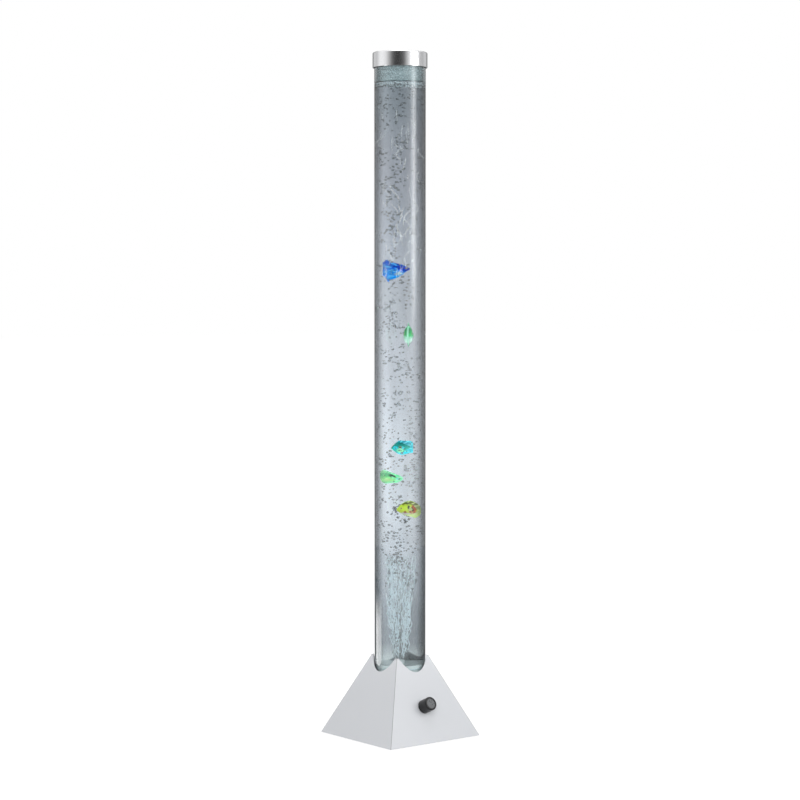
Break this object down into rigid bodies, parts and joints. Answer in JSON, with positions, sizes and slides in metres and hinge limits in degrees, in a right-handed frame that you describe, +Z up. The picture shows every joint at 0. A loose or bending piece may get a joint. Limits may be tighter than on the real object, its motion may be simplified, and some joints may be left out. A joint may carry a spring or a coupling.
{
  "type": "bubble tube floor lamp",
  "caption": "Floor lamp with a clear water-filled bubble tube and floating fish on a pyramid base with a pump, lights and a dimmer knob.",
  "frame": {"origin": "on the floor under the tube's axis, at the middle of the square base", "axes": "+Z up along the tube; -Y is the front face with the knob; the power inlet is on the +Y face"},
  "size_m": [0.2, 0.2, 1.2],
  "materials": {
    "satin_paint": "satin",
    "zinc_plate": "satin",
    "zinc_screw": "satin",
    "black_rubber": "matte",
    "seal_rubber": "satin",
    "brass_post": "satin",
    "white_moulding": "matte",
    "clear_acrylic": "gloss",
    "clear_plug": "gloss",
    "porous_stone": "matte",
    "water": "gloss",
    "brushed_cap": "satin",
    "pale_foam": "matte",
    "circuit_board": "satin",
    "light_dome": "gloss",
    "nylon": "satin",
    "pump_shell": "satin",
    "core_iron": "satin",
    "copper_winding": "gloss",
    "magnet": "satin",
    "bright_steel": "polished",
    "clear_hose": "satin",
    "blue_plastic": "gloss",
    "component_black": "satin",
    "knob_black": "satin",
    "knob_grey": "satin",
    "inlet_black": "satin",
    "contact_brass": "polished",
    "wire_insulation": "satin",
    "fish_blue": "gloss",
    "fish_small_green": "gloss",
    "fish_turquoise": "gloss",
    "fish_pale_green": "gloss",
    "fish_lime": "gloss"
  },
  "bodies": {
    "stand": {"base_housing": "satin_paint", "base_plate": "zinc_plate", "plate_screws": "zinc_screw", "rubber_feet": "black_rubber", "frame_standoffs": "brass_post", "lower_frame_screws": "zinc_screw", "upper_frame_screws": "zinc_screw", "tube_socket": "white_moulding", "tube": "clear_acrylic", "tube_plug": "clear_plug", "plug_seals": "seal_rubber", "air_stone": "porous_stone", "plug_spigot": "white_moulding", "water": "water", "light_board": "circuit_board", "lights": "light_dome", "light_spacers": "nylon", "light_board_screws": "zinc_screw", "pump_case": "pump_shell", "pump_cover": "pump_shell", "pump_cover_screws": "zinc_screw", "pump_mounts": "black_rubber", "pump_core": "core_iron", "pump_coil": "copper_winding", "pump_pivot_pin": "bright_steel", "pump_diaphragm": "black_rubber", "valve_block": "white_moulding", "air_hose": "clear_hose", "check_valve": "blue_plastic", "control_board": "circuit_board", "board_components": "component_black", "board_standoffs": "nylon", "board_screws": "zinc_screw", "dimmer_can": "bright_steel", "dimmer_nut": "bright_steel", "inlet_body": "inlet_black", "inlet_contact": "contact_brass", "inlet_nut": "bright_steel", "wiring": "wire_insulation"},
    "cap": {"cap_shell": "brushed_cap", "cap_liner": "white_moulding", "cap_seal": "pale_foam"},
    "dimmer": {"knob": "knob_black", "knob_insert": "knob_grey", "dimmer_shaft": "bright_steel"},
    "pump_arm": {"pump_arm": "white_moulding", "pump_magnet": "magnet"},
    "blue_fish": {"fish_blue": "fish_blue"},
    "small_green_fish": {"fish_small_green": "fish_small_green"},
    "turquoise_fish": {"fish_turquoise": "fish_turquoise"},
    "pale_green_fish": {"fish_pale_green": "fish_pale_green"},
    "lime_fish": {"fish_lime": "fish_lime"}
  },
  "joints": [
    {"name": "cap_lift", "type": "slide", "parent": "stand", "child": "cap", "axis": [0, 0, 1], "range_m": [0, 0.04]},
    {"name": "knob_turn", "type": "hinge", "parent": "stand", "child": "dimmer", "pos_m": [-0.0055, -0.07306, 0.0605], "axis": [0, -0.9097, 0.4154], "range_deg": [-150, 150]},
    {"name": "arm_swing", "type": "hinge", "parent": "stand", "child": "pump_arm", "pos_m": [-0.038, -0.0105, 0.025], "axis": [0, 0, 1], "range_deg": [-1.5, 1.5], "stiffness_Nm_per_rad": 0.4, "deforming": ["pump_diaphragm"]},
    {"name": "blue_fish_float", "type": "slide", "parent": "stand", "child": "blue_fish", "axis": [0, 0, 1], "range_m": [-0.014, 0.295], "deforming": ["water"]},
    {"name": "small_green_fish_float", "type": "slide", "parent": "stand", "child": "small_green_fish", "axis": [0, 0, 1], "range_m": [-0.016, 0.044], "deforming": ["water"]},
    {"name": "turquoise_fish_float", "type": "slide", "parent": "stand", "child": "turquoise_fish", "axis": [0, 0, 1], "range_m": [-0.348, 0.14], "deforming": ["water"]},
    {"name": "pale_green_fish_float", "type": "slide", "parent": "stand", "child": "pale_green_fish", "axis": [0, 0, 1], "range_m": [-0.296, 0.192], "deforming": ["water"]},
    {"name": "lime_fish_float", "type": "slide", "parent": "stand", "child": "lime_fish", "axis": [0, 0, 1], "range_m": [-0.24, 0.246], "deforming": ["water"]}
  ]
}
